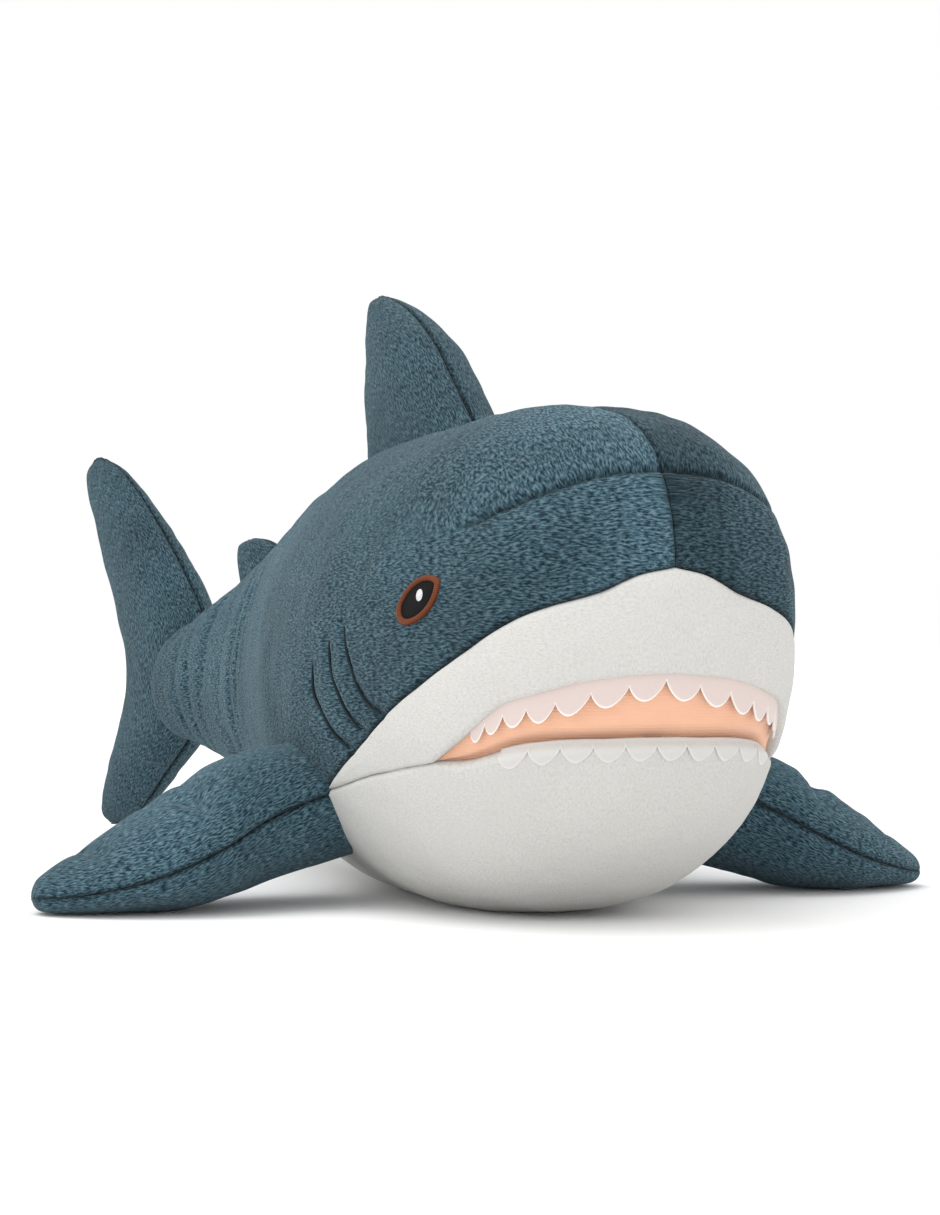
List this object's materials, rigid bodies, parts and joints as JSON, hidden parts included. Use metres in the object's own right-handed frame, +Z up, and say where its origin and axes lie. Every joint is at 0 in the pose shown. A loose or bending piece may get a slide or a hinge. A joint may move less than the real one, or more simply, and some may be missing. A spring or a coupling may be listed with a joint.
{
  "type": "plush shark",
  "caption": "Stuffed plush shark lying on its belly, blue-grey back, white jaw and belly, felt teeth, embroidered eyes, and stuffed fins and tail that bend.",
  "frame": {"origin": "bottom centre of the whole toy's box, on the surface that it lies on", "axes": "+Z up, -Y towards the nose, +X towards the shark's left"},
  "size_m": [0.3342, 0.5519, 0.2311],
  "materials": {
    "blue_plush": "short-pile plush",
    "white_plush": "short fine-pile plush",
    "peach_lining": "smooth brushed knit",
    "white_felt": "thin felt",
    "brown_thread": "satin-stitch embroidery",
    "black_thread": "satin-stitch embroidery",
    "white_thread": "satin-stitch embroidery",
    "blue_thread": "sewing thread",
    "polyester_filling": "loose fibre filling"
  },
  "bodies": {
    "trunk": {"trunk_stuffing": "polyester_filling", "back_left_panel": "blue_plush", "back_right_panel": "blue_plush", "muzzle_panel": "white_plush", "belly_panel": "white_plush", "mouth_lining": "peach_lining", "upper_teeth": "white_felt", "lower_teeth": "white_felt", "eye_left_rim": "brown_thread", "eye_left_pupil": "black_thread", "eye_left_glint": "white_thread", "gill_stitching_left": "blue_thread", "eye_right_rim": "brown_thread", "eye_right_pupil": "black_thread", "eye_right_glint": "white_thread", "gill_stitching_right": "blue_thread"},
    "tail_stalk": {"tail_stuffing": "polyester_filling", "tail_left_panel": "blue_plush", "tail_right_panel": "blue_plush", "tail_belly_panel": "white_plush"},
    "tail_fin": {"tail_fin_stuffing": "polyester_filling", "tail_fin_left_panel": "blue_plush", "tail_fin_right_panel": "blue_plush"},
    "pectoral_fin_left": {"pectoral_left_stuffing": "polyester_filling", "pectoral_left_upper_panel": "blue_plush", "pectoral_left_lower_panel": "blue_plush"},
    "pectoral_fin_right": {"pectoral_right_stuffing": "polyester_filling", "pectoral_right_upper_panel": "blue_plush", "pectoral_right_lower_panel": "blue_plush"},
    "dorsal_fin": {"dorsal_stuffing": "polyester_filling", "dorsal_left_panel": "blue_plush", "dorsal_right_panel": "blue_plush"},
    "second_dorsal_fin": {"second_dorsal_stuffing": "polyester_filling", "second_dorsal_left_panel": "blue_plush", "second_dorsal_right_panel": "blue_plush"}
  },
  "joints": [
    {"name": "tail_bend", "type": "hinge", "parent": "trunk", "child": "tail_stalk", "pos_m": [0, 0.0251, 0], "axis": [0, 0, 1], "range_deg": [-47.5, 18.5], "stiffness_Nm_per_rad": 0.8},
    {"name": "tail_fin_swing", "type": "hinge", "parent": "tail_stalk", "child": "tail_fin", "pos_m": [-0.04007, 0.18005, 0], "axis": [0, 0, 1], "range_deg": [-35, 35], "stiffness_Nm_per_rad": 0.25},
    {"name": "pectoral_left_lift", "type": "hinge", "parent": "trunk", "child": "pectoral_fin_left", "pos_m": [0.09006, -0.15085, 0.034], "axis": [0, -1, 0], "range_deg": [-10, 60], "stiffness_Nm_per_rad": 0.2},
    {"name": "pectoral_right_lift", "type": "hinge", "parent": "trunk", "child": "pectoral_fin_right", "pos_m": [-0.09006, -0.15085, 0.034], "axis": [0, 1, 0], "range_deg": [-10, 60], "stiffness_Nm_per_rad": 0.2},
    {"name": "dorsal_flop", "type": "hinge", "parent": "trunk", "child": "dorsal_fin", "pos_m": [0, -0.09483, 0.18641], "axis": [0, 0.9956, -0.094], "range_deg": [-35, 35], "stiffness_Nm_per_rad": 0.25},
    {"name": "second_dorsal_flop", "type": "hinge", "parent": "tail_stalk", "child": "second_dorsal_fin", "pos_m": [-0.01654, 0.08904, 0.13704], "axis": [-0.234, 0.9046, -0.3562], "range_deg": [-30, 30], "stiffness_Nm_per_rad": 0.005}
  ]
}
